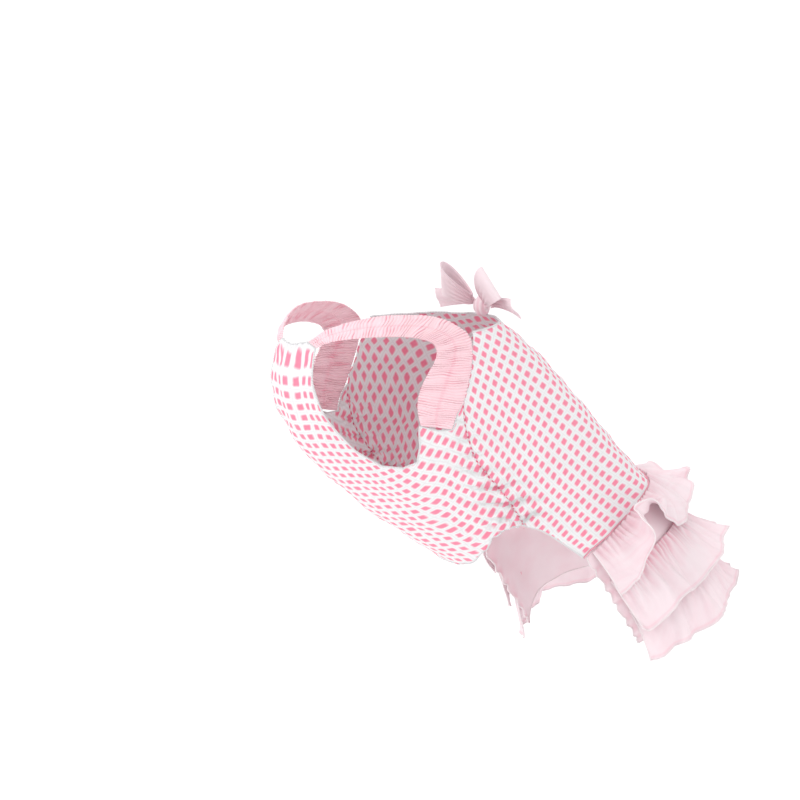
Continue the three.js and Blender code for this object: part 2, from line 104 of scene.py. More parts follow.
# Trims
HEM_RADIUS = 0.45 * MM
BINDING_RADIUS = 0.5 * MM
WIDE_BINDING_RADIUS = 0.55 * MM
PIPING_STAND = 0.3 * MM

# The print: distance between squares; in shares of it, half the side of a square's core and where beyond it
# the colour fades; the colours of dyed cotton
PRINT_PITCH = 5.85 * MM
SQUARE_HALF = 0.16
SQUARE_EDGE = (0.02, 0.23)
CHECK_PINK = "F58FA8"
CHECK_DEEP = "EA7793"
CHECK_GROUND = "ECEEEF"
CHECK_LINE = "B98C9C"

OVALS = {
    "along": [-0.16, 0.00, 0.25, 0.50, 0.75, 1.00],
    "rise": [-0.030, 0.000, 0.022, 0.016, 0.001, 0.000],
    "front": [-0.925, -1.000, -1.040, -0.890, -0.516, -0.119],
    "low": [0.090, -0.016, -0.210, -0.468, -0.766, -1.000],
    "girth": [0.76, 0.91, 0.96, 1.00, 1.00, 0.97],
}
SIDE_EDGE = {
    "along": [0.000, 0.064, 0.232, 0.339, 0.465, 0.582, 0.706, 0.790, 0.846, 0.885, 0.955, 1.043],
    "angle": [70.5, 76.0, 87.2, 96.0, 102.8, 108.0, 111.0, 114.0, 117.2, 113.8, 112.9, 112.5],
}
SEAM_START = 0.339
SEAM_END = 0.846
BACK_END_MIDDLE = 0.893
BACK_END_SIDE = 1.043
BACK_END_CURVE = 2.2
BELLY_TOP = {
    "along": [0.339, 0.385, 0.444, 0.440, 0.412, 0.495, 0.548, 0.566, 0.550, 0.490, 0.400, 0.290, 0.180,
              0.090, 0.024, -0.004, 0.006, 0.014],
    "angle": [96.0, 101.5, 107.2, 113.0, 118.7, 124.0, 130.0, 138.0, 146.0, 152.0, 155.8, 158.2, 159.6,
              160.4, 161.0, 166.5, 173.0, 180.0],
}
BELLY_HEM = {
    "across": [0.00, 0.12, 0.30, 0.50, 0.75, 1.00],
    "along": [0.846, 0.846, 0.866, 0.915, 0.968, 0.992],
    "angle": [117.2, 123.0, 134.0, 146.0, 162.0, 180.0],
}
STRAP_COURSE = {
    "course": [0.00, 0.08, 0.15, 0.25, 0.36, 0.46, 0.56, 0.66, 0.78, 0.90, 1.00],
    "outer_along": [0.444, 0.385, 0.339, 0.232, 0.118, 0.000, -0.105, -0.145, -0.145, -0.085, -0.004],
    "outer_angle": [107.2, 101.5, 96.0, 87.2, 80.0, 75.5, 85.0, 104.0, 128.0, 153.0, 166.5],
    "inner_along": [0.412, 0.350, 0.290, 0.202, 0.105, 0.030, -0.010, -0.028, -0.030, -0.012, 0.024],
    "inner_angle": [118.7, 116.5, 113.4, 106.8, 99.5, 98.5, 106.0, 117.0, 133.0, 151.0, 161.0],
}
# Folds: valleys between two points. depth and width are shares of BODY_WIDTH
FOLDS = [
    {"from": (0.33, 74), "to": (0.73, 104), "depth": 0.024, "width": 0.055},
    {"from": (0.52, 61), "to": (0.72, 89), "depth": 0.020, "width": 0.050},
    {"from": (0.58, 44), "to": (0.82, 69), "depth": 0.018, "width": 0.055},
    {"from": (0.76, 77), "to": (0.88, 108), "depth": 0.022, "width": 0.050},
    {"from": (0.46, 106), "to": (0.90, 160), "depth": 0.034, "width": 0.060},
    {"from": (0.05, 170), "to": (0.40, 168), "depth": 0.016, "width": 0.060},
]
# Hems of the tiers, from the middle of the back (across 0) to the front edge (1). fall, out and fore: how far
# the hem lies down the panel, off it and towards the front edge, as shares of the tier's depth
TOP_HEM = {
    "across": [0.000, 0.047, 0.094, 0.151, 0.208, 0.255, 0.302, 0.349, 0.396, 0.443, 0.491, 0.566, 0.623,
               0.679, 0.755, 0.811, 0.868, 0.925, 1.000],
    "fall": [0.76, 0.66, 0.80, 0.90, 0.92, 0.93, 0.92, 0.82, 0.70, 0.33, 0.05, -0.28, -0.30, -0.08, 0.35,
             0.60, 0.84, 0.92, 0.94],
    "out": [0.54, 0.72, 0.58, 0.55, 0.30, 0.16, 0.13, 0.14, 0.16, 0.28, 0.55, 0.68, 0.62, 0.80, 0.75, 0.38,
            0.25, 0.18, 0.14],
    "fore": [0.00, 0.32, 0.05, -0.05, 0.00, 0.03, 0.28, 0.52, 0.60, 0.70, 0.80, 0.72, 0.75, 0.58, 0.20, 0.05,
             0.05, 0.00, 0.04],
}
MIDDLE_HEM = {
    "across": [0.000, 0.094, 0.170, 0.226, 0.283, 0.340, 0.396, 0.453, 0.509, 0.566, 0.642, 0.698, 0.774,
               0.830, 0.887, 0.943, 1.000],
    "fall": [0.96, 0.92, 0.97, 0.92, 0.90, 0.90, 0.97, 0.95, 0.97, 1.00, 1.00, 0.96, 0.94, 0.98, 1.03, 1.06,
             0.98],
    "out": [0.22, 0.44, 0.36, 0.54, 0.36, 0.34, 0.31, 0.29, 0.20, 0.14, 0.14, 0.22, 0.26, 0.32, 0.28, 0.22,
            0.20],
    "fore": [0.00, 0.10, 0.10, -0.05, 0.00, 0.02, 0.02, 0.02, 0.05, 0.22, 0.22, 0.05, 0.07, 0.10, 0.15, 0.15,
             0.00],
}
BOTTOM_HEM = {
    "across": [0.000, 0.113, 0.189, 0.245, 0.302, 0.358, 0.415, 0.472, 0.538, 0.604, 0.660, 0.717, 0.783,
               0.849, 0.925, 1.000],
    "fall": [0.95, 0.90, 0.96, 0.94, 1.03, 1.02, 1.06, 1.10, 1.10, 1.08, 1.08, 1.05, 1.05, 1.03, 1.03, 1.00],
    "out": [0.22, 0.46, 0.32, 0.46, 0.28, 0.16, 0.09, 0.06, 0.14, 0.28, 0.16, 0.08, 0.24, 0.13, 0.27, 0.20],
    "fore": [0.00, 0.14, 0.08, -0.06, 0.00, 0.02, 0.02, 0.02, 0.12, 0.32, 0.28, 0.30, 0.24, 0.25, 0.20, 0.15],
}
# start: share of the skirt panel where the tier is gathered on; spring: how far it leaves the panel there;
# sewn_edge, hem_edge and width: the strip of cloth before it is gathered, as measured along the tier's rows
# and columns, gathers and all; tucks: small gathers on each side; gather_shade: how dark the shade painted
# into the gathers is; tucked_up: how far the sewn edge goes up under the back panel
TIERS = [
    {"node": "skirt_tier_top", "hem": TOP_HEM, "depth": 27 * MM, "start": 0.03, "spring": 0.20,
     "sewn_edge": 284.5 * MM, "hem_edge": 385.3 * MM, "width": 28.2 * MM,
     "tucks": 32, "gather_shade": 0.2, "tucked_up": 1.3 * MM},
    {"node": "skirt_tier_middle", "hem": MIDDLE_HEM, "depth": 30 * MM, "start": 0.34, "spring": 0.05,
     "sewn_edge": 302.1 * MM, "hem_edge": 288.0 * MM, "width": 30.7 * MM,
     "tucks": 34, "gather_shade": 0.6, "tucked_up": 0},
    {"node": "skirt_tier_bottom", "hem": BOTTOM_HEM, "depth": 28 * MM, "start": 0.67, "spring": 0.05,
     "sewn_edge": 314.4 * MM, "hem_edge": 290.4 * MM, "width": 30.2 * MM,
     "tucks": 36, "gather_shade": 0.35, "tucked_up": 0},
]


def track(table, key, column, at):
    """Smooth curve through one column of a table: cubic stretches, whose slope at each knot is that
    between its neighbours, and straight lines beyond the ends."""
    knots, values, at = np.array(table[key]), np.array(table[column]), np.asarray(at, float)
    last = len(knots) - 1
    before = np.maximum(np.arange(last + 1) - 1, 0)
    after = np.minimum(np.arange(last + 1) + 1, last)
    slopes = (values[after] - values[before]) / (knots[after] - knots[before])
    i = np.clip(np.searchsorted(knots, at, side="right") - 1, 0, last - 1)
    span = knots[i + 1] - knots[i]
    s = (at - knots[i]) / span
    curve = (1 + 2 * s) * (1 - s) ** 2 * values[i] + s * s * (3 - 2 * s) * values[i + 1]
    curve = curve + span * s * (1 - s) * ((1 - s) * slopes[i] - s * slopes[i + 1])
    low = values[0] + slopes[0] * (at - knots[0])
    high = values[-1] + slopes[-1] * (at - knots[-1])
    return np.where(at <= knots[0], low, np.where(at >= knots[-1], high, curve))


def lerp(a, b, share):
    return a + (b - a) * share


def smoothstep(low, high, value):
    """0 below low, 1 above high, and an S-curve between them."""
    s = np.clip((value - low) / (high - low), 0, 1)
    return s * s * (3 - 2 * s)


def unit(vectors):
    return vectors / np.maximum(np.linalg.norm(vectors, axis=-1, keepdims=True), 1e-12)


def scaled(amounts, vectors):
    """Vectors, each times its own amount."""
    return np.asarray(amounts)[..., None] * vectors


def wander(x, y, seed, waves=6):
    """Soft irregular relief between about -1 and 1: the mean of sine waves in seeded directions, with wave
    lengths near 1 in the units of x and y."""
    draw = np.random.default_rng(seed)
    total = np.zeros(np.broadcast(x, y).shape)
    for _ in range(waves):
        turn, start, pace = draw.uniform(0, 2 * np.pi), draw.uniform(0, 2 * np.pi), draw.uniform(0.7, 1.4)
        total = total + np.sin(2 * np.pi * pace * (x * np.cos(turn) + y * np.sin(turn)) + start)
    return total / np.sqrt(waves)


def body_point(along, angle):
    """Oval between the spine and the breast: its middle, plus half the way to the spine times the cosine of
    the angle, plus half its girth sideways times the sine."""
    along, angle = np.broadcast_arrays(np.asarray(along, float), np.asarray(angle, float))
    turn = np.radians(angle)
    run = along * BACK_LENGTH
    bulge = track(OVALS, "along", "rise", along) * BACK_LENGTH
    flat = np.zeros_like(run)
    cosine, sine = np.cos(BACK_SLOPE), np.sin(BACK_SLOPE)
    spine = np.stack([run * cosine + bulge * sine, flat, bulge * cosine - run * sine], -1)
    front = track(OVALS, "along", "front", along) * CHEST_DEPTH
    low = track(OVALS, "along", "low", along) * BELLY_DROP
    breast = np.stack([front, flat, low], -1)
    half_girth = track(OVALS, "along", "girth", along) * BODY_WIDTH / 2
    side = np.stack([flat, np.sin(turn) * half_girth, flat], -1)
    return (spine + breast) / 2 + scaled(np.cos(turn), (spine - breast) / 2) + side


def body_normal(along, angle):
    """Unit vector out of the body: the cross product of its steps down and round."""
    down = body_point(along + 0.01, angle) - body_point(along - 0.01, angle)
    round_ = body_point(along, angle + 1) - body_point(along, angle - 1)
    return unit(np.cross(down, round_))


def fold_places(along, angle):
    """For each fold, how far a point lies along it (share) and to its right side (metres)."""
    for fold in FOLDS:
        (from_along, from_angle), (to_along, to_angle) = fold["from"], fold["to"]
        dx = (to_angle - from_angle) * GIRTH_PER_DEGREE
        dy = (to_along - from_along) * BACK_LENGTH
        px = (np.abs(angle) - from_angle) * GIRTH_PER_DEGREE
        py = (along - from_along) * BACK_LENGTH
        length = np.hypot(dx, dy)
        share = np.clip((px * dx + py * dy) / length ** 2, 0, 1)
        yield fold, share, (px * dy - py * dx) / length


def fold_depth(along, angle):
    """Depth of all folds at a point: each is a soft valley that fades towards both its ends."""
    depth = 0
    for fold, share, aside in fold_places(along, angle):
        valley = np.exp(-(aside / (fold["width"] * BODY_WIDTH)) ** 2)
        depth = depth + fold["depth"] * BODY_WIDTH * np.sin(np.pi * share) * valley
    return depth


def cloth_point(along, angle, stand):
    """Point of the cloth on the body, standing off its inner face."""
    return body_point(along, angle) + scaled(stand - fold_depth(along, angle), body_normal(along, angle))


def grid(columns, rows):
    """Two arrays of shares from 0 to 1: u across the columns and v down the rows."""
    return np.meshgrid(np.linspace(0, 1, columns + 1), np.linspace(0, 1, rows + 1))


def mesh_object(name, points, faces, uv, marks=None):
    """Mesh from arrays of points and quads, a UV map in metres of cloth and marks at its points."""
    mesh = bpy.data.meshes.new(name)
    mesh.vertices.add(len(points))
    mesh.vertices.foreach_set("co", points.astype(np.float32).ravel())
    mesh.loops.add(faces.size)
    mesh.loops.foreach_set("vertex_index", faces.astype(np.int32).ravel())
    mesh.polygons.add(len(faces))
    mesh.polygons.foreach_set("loop_start", np.arange(len(faces), dtype=np.int32) * 4)
    layer = mesh.uv_layers.new(name="cloth")
    layer.data.foreach_set("uv", uv[faces.ravel()].astype(np.float32).ravel())
    for mark, values in (marks or {}).items():
        attribute = mesh.attributes.new(mark, "FLOAT", "POINT")
        attribute.data.foreach_set("value", np.asarray(values, np.float32).ravel())
    mesh.update(calc_edges=True)
    mesh.validate()
    mesh.shade_smooth()
    piece = bpy.data.objects.new(name, mesh)
    bpy.context.scene.collection.objects.link(piece)
    return piece


def grid_faces(rows, columns, looped=False):
    """Quads of a grid of points; a looped one also joins its last column to its first."""
    index = np.arange(rows * columns).reshape(rows, columns)
    if looped:
        index = np.concatenate([index, index[:, :1]], 1)
    corners = [index[:-1, :-1], index[:-1, 1:], index[1:, 1:], index[1:, :-1]]
    return np.stack([c.ravel() for c in corners], -1)


def cloth(name, points, outward, uv, thick, material, marks=None, looped=False):
    """Sheet of cloth on a grid of points, its faces turned to the outward side, with its real thickness."""
    rows, columns = points.shape[:2]
    faces = grid_faces(rows, columns, looped)
    flat = points.reshape(-1, 3)
    normal = np.cross(flat[faces[:, 2]] - flat[faces[:, 0]], flat[faces[:, 3]] - flat[faces[:, 1]])
    out = np.broadcast_to(outward, points.shape).reshape(-1, 3)[faces[:, 0]]
    if np.sum(normal * out) < 0:
        faces = faces[:, ::-1]
    piece = mesh_object(name, flat, faces, uv.reshape(-1, 2), marks)
    wall = piece.modifiers.new("wall", "SOLIDIFY")
    wall.thickness = thick
    wall.offset = 0
    piece.data.materials.append(material)
    return piece


def tube(name, path, side, radius, material, sides=6):
    """Round band along a path: at each point a ring in the plane of the side vector and of the vector at
    right angles to it and to the path. Its two ends close on their middle."""
    run = np.gradient(path, axis=0)
    side = unit(side - scaled(np.sum(side * unit(run), -1), unit(run)))
    other = np.cross(unit(run), side)
    turn = np.linspace(0, 2 * np.pi, sides, endpoint=False)
    radius = np.broadcast_to(radius, len(path))
    cosine, sine = np.cos(turn)[:, None], np.sin(turn)[:, None]
    ring = scaled(cosine * radius, side[None]) + scaled(sine * radius, other[None])
    points = path[None] + ring
    ends = np.repeat(path[None, [0, -1]], sides, 0)
    points = np.concatenate([ends[:, :1], points, ends[:, 1:]], 1)
    length = np.r_[0, np.cumsum(np.linalg.norm(np.diff(path, axis=0), axis=1))]
    length = np.r_[length[0], length, length[-1]]
    uv = np.stack(np.broadcast_arrays(length[None], (turn * radius.mean())[:, None]), -1)
    faces = grid_faces(points.shape[1], sides, looped=True)
    flat = points.transpose(1, 0, 2).reshape(-1, 3)
    piece = mesh_object(name, flat, faces, uv.transpose(1, 0, 2).reshape(-1, 2))
    piece.data.materials.append(material)
    weld = piece.modifiers.new("ends", "WELD")
    weld.merge_threshold = 0.001 * MM
    return piece


def linear(hex_colour):
    """sRGB hex colour as linear red, green, blue and alpha."""
    srgb = [int(hex_colour[k:k + 2], 16) / 255 for k in (0, 2, 4)]
    return [c / 12.92 if c <= 0.04045 else ((c + 0.055) / 1.055) ** 2.4 for c in srgb] + [1.0]


def add(material, kind, settings=None, **inputs):
    """Adds a node: settings are its own properties, inputs are values or output sockets for its named
    sockets, with a number after n as the name where sockets share one."""
    tree = material.node_tree
    node = tree.nodes.new("ShaderNode" + kind)
    for key, value in (settings or {}).items():
        setattr(node, key, value)
    for key, value in inputs.items():
        label = key.replace("_", " ")
        socket = node.inputs[int(key[1:])] if key[0] == "n" and key[1:].isdigit() else node.inputs[label]
        if isinstance(value, bpy.types.NodeSocket):
            tree.links.new(value, socket)
        else:
            socket.default_value = value
    return node


def blank_material(name):
    material = bpy.data.materials.new(name)
    material.use_nodes = True
    material.node_tree.nodes.clear()
    return material


def maths(material, operation, *values):
    """Result of a Math node on one or two values."""
    inputs = {f"n{place}": value for place, value in enumerate(values)}
    return add(material, "Math", {"operation": operation}, **inputs).outputs[0]


def ramp(material, value, low, high, at_low=0.0, at_high=1.0, curve="LINEAR"):
    """Goes from at_low to at_high while the value goes from low to high, and stays there beyond."""
    return add(material, "MapRange", {"interpolation_type": curve}, Value=value, From_Min=low, From_Max=high,
               To_Min=at_low, To_Max=at_high).outputs[0]


def mix(material, share, first, second):
    """Colour between two others, each a hex text or an output."""
    first, second = (linear(c) if isinstance(c, str) else c for c in (first, second))
    return add(material, "Mix", {"data_type": "RGBA"}, Factor=share, n6=first, n7=second).outputs[2]


def cloth_map(material):
    return add(material, "UVMap", {"uv_map": "cloth"}).outputs[0]


def weave_height(material, cloth_uv, spacing):
    """Height of a plain weave: the product of two sets of threads, one along and one across the cloth."""
    parts = add(material, "SeparateXYZ", Vector=cloth_uv)
    threads = [maths(material, "SINE", maths(material, "MULTIPLY", parts.outputs[axis], 2 * np.pi / spacing))
               for axis in ("X", "Y")]
    return maths(material, "MULTIPLY", *threads)


def finish_cloth(material, colour, height, roughness, bump, sheen, soft):
    """Joins colour and relief to the shader. Sheen is the nap of the fibres, and soft the share of light that
    thin cloth lets through from behind."""
    relief = add(material, "Bump", Strength=bump, Distance=0.2 * MM, Height=height)
    shader = add(material, "BsdfPrincipled", Base_Color=colour, Roughness=roughness, Normal=relief.outputs[0])
    shader.inputs["Sheen Weight"].default_value = sheen
    shader.inputs["Sheen Roughness"].default_value = 0.5
    shader.inputs["Specular IOR Level"].default_value = 0.2
    glow = add(material, "BsdfTranslucent", Color=colour, Normal=relief.outputs[0])
    both = add(material, "MixShader", n0=soft, n1=shader.outputs[0], n2=glow.outputs[0])
    add(material, "OutputMaterial", Surface=both.outputs[0])
    return material


def check_poplin():
    """Printed cotton poplin: small pink squares in a square grid on white, with faint grey lines between
    them. It is matt, and the print's edges are a little soft, as ink is in a woven cloth."""
    material = blank_material("printed_cotton_poplin")
    cloth_uv = cloth_map(material)
    # Threads 0.35 mm apart don't show at this size, so they are drawn 0.65 mm apart
    height = weave_height(material, cloth_uv, 0.65 * MM)
    wobble = add(material, "TexNoise", Vector=cloth_uv, Scale=380.0, Detail=2.0)
    moved = add(material, "VectorMath", {"operation": "SCALE"}, Vector=wobble.outputs["Color"])
    moved.inputs["Scale"].default_value = 0.7 * MM
    printed = add(material, "VectorMath", {"operation": "ADD"}, n0=cloth_uv, n1=moved.outputs[0])
    parts = add(material, "SeparateXYZ", Vector=printed.outputs[0])
    beyond, lines = [], []
    for axis in ("X", "Y"):
        # 0 in the middle of a square and 0.5 halfway to the next
        wave = maths(material, "PINGPONG", maths(material, "DIVIDE", parts.outputs[axis], PRINT_PITCH), 0.5)
        beyond.append(maths(material, "MAXIMUM", maths(material, "SUBTRACT", wave, SQUARE_HALF), 0.0))
        lines.append(ramp(material, wave, 0.42, 0.5, curve="SMOOTHSTEP"))
    corner = add(material, "CombineXYZ", X=beyond[0], Y=beyond[1])
    distance = add(material, "VectorMath", {"operation": "LENGTH"}, n0=corner.outputs[0]).outputs["Value"]
    square = ramp(material, distance, *SQUARE_EDGE, 1.0, 0.0, curve="SMOOTHSTEP")
    line_share = maths(material, "MULTIPLY", maths(material, "MAXIMUM", *lines), 0.14)
    ground = mix(material, line_share, CHECK_GROUND, CHECK_LINE)
    dye = add(material, "TexNoise", Vector=cloth_uv, Scale=900.0, Detail=3.0)
    dye_share = ramp(material, dye.outputs[0], 0.3, 0.7, 0.0, 0.4)
    ink = mix(material, dye_share, CHECK_PINK, CHECK_DEEP)
    colour = mix(material, square, ground, ink)
    return finish_cloth(material, colour, height, roughness=0.88, bump=0.25, sheen=0.1, soft=0.06)


def plain_cloth(name, light, deep, spacing, roughness, soft):
    """Plain dyed cloth: light where it lies open; its deep colour is painted in as shade where the mark
    "deep" says that it lies in gathers, pleats and hollows.
    """
    material = blank_material(name)
    cloth_uv = cloth_map(material)
    height = weave_height(material, cloth_uv, spacing)
    # depth: the painted shade from the mark "deep", to which a random unevenness of tone is added
    depth = add(material, "Attribute", {"attribute_name": "deep"}).outputs["Fac"]
    blot = add(material, "TexNoise", Vector=cloth_uv, Scale=70.0, Detail=3.0)
    uneven = ramp(material, blot.outputs[0], 0.35, 0.65, -0.05, 0.08)
    share = add(material, "Math", {"operation": "ADD", "use_clamp": True}, n0=depth, n1=uneven).outputs[0]
    colour = mix(material, share, light, deep)
    return finish_cloth(material, colour, height, roughness, bump=0.2, sheen=0.15, soft=soft)


def sewn_thread(name, light, deep, spacing=0.8 * MM):
    """Overlocked edge: spun polyester thread laid over it side by side, a little brighter than the cloth.
    Such threads lie 0.4 mm apart, and are drawn further apart so that they show. The deep colour lies in
    the grooves between them: painted shade on thread, and the print's squares on puckered cotton."""
    material = blank_material(name)
    parts = add(material, "SeparateXYZ", Vector=cloth_map(material))
    wave = maths(material, "SINE", maths(material, "MULTIPLY", parts.outputs["X"], 2 * np.pi / spacing))
    colour = mix(material, ramp(material, wave, -1.0, 1.0), deep, light)
    return finish_cloth(material, colour, wave, roughness=0.6, bump=0.5, sheen=0.1, soft=0.1)


CHECK = check_poplin()
# The second colour of each plain cloth is the colour painted into its shade
SHIRRED = plain_cloth("shirred_cotton_lawn", "FBD9E0", "EE9DB0", 0.7 * MM, 0.85, 0.08)
VOILE = plain_cloth("cotton_voile", "FCEEF2", "F0A3B7", 0.6 * MM, 0.8, 0.2)
BOW_VOILE = plain_cloth("folded_cotton_voile", "FAECF0", "E8B4C2", 0.6 * MM, 0.75, 0.2)
# The second colour of each thread is painted shade in the grooves between its wraps
HEM_THREAD = sewn_thread("overlock_thread_white", "FFFFFF", "F6DCE2")
WHITE_THREAD = sewn_thread("binding_thread_white", "EEF0F0", "D9D5D8")
PINK_THREAD = sewn_thread("overlock_thread_pink", "F6BCC9", "EA8FA5")
# Printed cotton puckered in a seam: its squares come and go 3.4 mm apart
PUCKERED = sewn_thread("puckered_seam_cotton", "E9E2E5", "DD5F7E", 3.4 * MM)


def arc_from_spine(along, angle):
    """Length round the oval from the spine to the angle, by adding up short steps."""
    steps = 48
    shares = np.linspace(0, 1, steps + 1).reshape((-1,) + (1,) * np.ndim(along))
    points = body_point(np.broadcast_to(along, np.broadcast(along, angle).shape)[None], shares * angle)
    return np.linalg.norm(np.diff(points, axis=0), axis=-1).sum(0)


def flank_column(run, way):
    """Number of the column of squares on the flank."""
    return -8.4 + 0.120 * run + 0.0687 * way + 0.00028 * run ** 2 + 0.00055 * run * way - 0.0005 * way ** 2


def flank_row(run, way):
    """Number of the row of squares on the flank."""
    return -11.2 + 0.0388 * run + 0.0863 * way - 0.0001 * run * way + 0.00031 * way ** 2


def print_on_back(along, angle):
    """Place on the printed cloth. Rows and columns of squares are numbered by quadratics of the way along the
    back (run) and the way round from the spine (way), both in mm, as the panel's cut makes them fan out over
    the flank. Near the spine they give way to a plain square grid, so that left and right join."""
    run = body_point(along, angle) @ np.array([np.cos(BACK_SLOPE), 0, -np.sin(BACK_SLOPE)]) / MM
    way = arc_from_spine(along, np.abs(angle)) / MM
    # The two grids agree this far round from the spine
    meet = 35
    spine_row = flank_row(run, meet) - meet * MM / PRINT_PITCH
    flank = smoothstep(12, 58, way)
    column = lerp(flank_column(run, meet), flank_column(run, way), flank)
    row = lerp(spine_row + way * MM / PRINT_PITCH, flank_row(run, way), flank)
    row = np.where(angle > 0, 2 * spine_row - row, row)
    return np.stack([column, row], -1) * PRINT_PITCH


def print_on_belly(along, angle):
    """Place on the printed cloth: run is the way down the breast line and way the length round the body from
    it, both in mm, summed in short steps whose part along the breast line is left out. On the flanks the
    squares' rows and columns turn, as the cut's sides do."""
    down = unit(np.array([110.0, 0, -122.0]))
    shares = np.linspace(0, 1, 49).reshape(-1, 1, 1)
    points = body_point(along[None], 180 - (180 - np.abs(angle)) * shares)
    steps = np.diff(points, axis=0)
    level = np.sum(steps ** 2, -1) - (steps @ down) ** 2
    way = np.sqrt(np.maximum(level, 0)).sum(0) / MM
    run = points[-1] @ down / MM
    flank = smoothstep(8, 42, way)
    column = lerp(2.3 + run * MM / PRINT_PITCH, -1.54 + 0.192 * run + 0.0813 * way, flank)
    row = lerp(12 - way * MM / PRINT_PITCH, 8.08 + 0.0527 * run - 0.1155 * way, flank)
    row = np.where(angle > 0, 24 - row, row)
    return np.stack([column, row], -1) * PRINT_PITCH


def side_angle(along):
    return track(SIDE_EDGE, "along", "angle", along)


def seam_ruching(along, angle):
    """Relief near the side seam, in metres: small crumples across the seam, deepest low down, where elastic
    thread draws it in, and the valley of the seam itself."""
    aside = (side_angle(along) - np.abs(angle)) * GIRTH_PER_DEGREE
    way = along * BACK_LENGTH * 1.25
    pull = smoothstep(SEAM_START, SEAM_START + 0.12, along) * (0.3 + 0.7 * smoothstep(0.5, 0.8, along))
    past_end = 1 - smoothstep(SEAM_END - 0.02, SEAM_END + 0.04, along)
    near = np.exp(-(aside / CRUMPLE_REACH) ** 2)
    crumple = np.sin(2 * np.pi * (way / CRUMPLE_PITCH + 0.6 * wander(way / (14 * MM), aside / (8 * MM), 3)))
    valley = np.exp(-(aside / SEAM_VALLEY_REACH) ** 2)
    return (CRUMPLE_HEIGHT * pull * near * crumple - SEAM_VALLEY_DEPTH * valley) * past_end


def drawn_in(place, relief):
    """Place on the printed cloth, moved where the cloth is drawn in: the print bends with its crumples."""
    return place + scaled(relief, np.array([0.8, -0.6]))


def rumple(along, angle):
    """Soft unevenness of thin cotton, in metres, alike on both sides; it fades at the spine and breast."""
    x, y = along * BACK_LENGTH, np.abs(angle) * GIRTH_PER_DEGREE
    fade = smoothstep(0, 14, np.abs(angle)) * smoothstep(0, 10, 180 - np.abs(angle))
    broad = wander(x / (26 * MM), y / (19 * MM), 11)
    fine = wander(x / (9 * MM), y / (7 * MM), 12)
    return (0.40 * MM * broad + 0.13 * MM * fine) * fade


def back_panel():
    """Back panel: across runs from one side edge (1) over the spine to the other (-1)."""
    u, v = grid(230, 210)
    across = 1 - 2 * u
    end = lerp(BACK_END_MIDDLE, BACK_END_SIDE, np.abs(across) ** BACK_END_CURVE)
    angle = across * side_angle(v * BACK_END_SIDE)
    along = v * end
    relief = rumple(along, angle) + seam_ruching(along, angle)
    points = cloth_point(along, angle, COTTON_STAND + relief)
    out = body_normal(along, angle)
    place = drawn_in(print_on_back(along, angle), relief - fold_depth(along, angle))
    panel = cloth("back_cotton", points, out, place, COTTON_THICK, CHECK)
    return panel, points, out


def belly_panel():
    """Belly panel: columns run from the upper edge, round the armholes, down to the hem under the belly."""
    u, v = grid(306, 104)
    across = 1 - np.abs(2 * u - 1)
    knots = np.arange(len(BELLY_TOP["along"])) / (len(BELLY_TOP["along"]) - 1)
    top_along = np.interp(across, knots, BELLY_TOP["along"])
    top_angle = np.interp(across, knots, BELLY_TOP["angle"])
    seam_along = lerp(SEAM_START, SEAM_END, v)
    seam_bow = side_angle(seam_along) - lerp(side_angle(SEAM_START), side_angle(SEAM_END), v)
    along = lerp(top_along, track(BELLY_HEM, "across", "along", across), v)
    angle = lerp(top_angle, track(BELLY_HEM, "across", "angle", across), v) + seam_bow * (1 - across) ** 3
    angle = np.where(u < 0.5, -angle, angle)
    y = angle * GIRTH_PER_DEGREE
    pleat = np.sin(2 * np.pi * y / BREAST_PLEAT_PITCH)
    pleats = BREAST_PLEAT_HEIGHT * pleat * np.exp(-(v / 0.07) ** 2) * smoothstep(0.86, 0.9, across)
    drawn = smoothstep(0.45, 0.95, v) * (1 - smoothstep(0.35, 0.75, across))
    bunches = BUNCH_HEIGHT * drawn * wander(along * BACK_LENGTH / (6.5 * MM), y / (8 * MM), 21)
    relief = rumple(along, angle) + seam_ruching(along, angle) + pleats + bunches
    points = cloth_point(along, angle, COTTON_STAND + relief)
    out = body_normal(along, angle)
    place = drawn_in(print_on_belly(along, angle), relief - fold_depth(along, angle))
    panel = cloth("belly_cotton", points, out, place, COTTON_THICK, CHECK)
    return panel, points, out


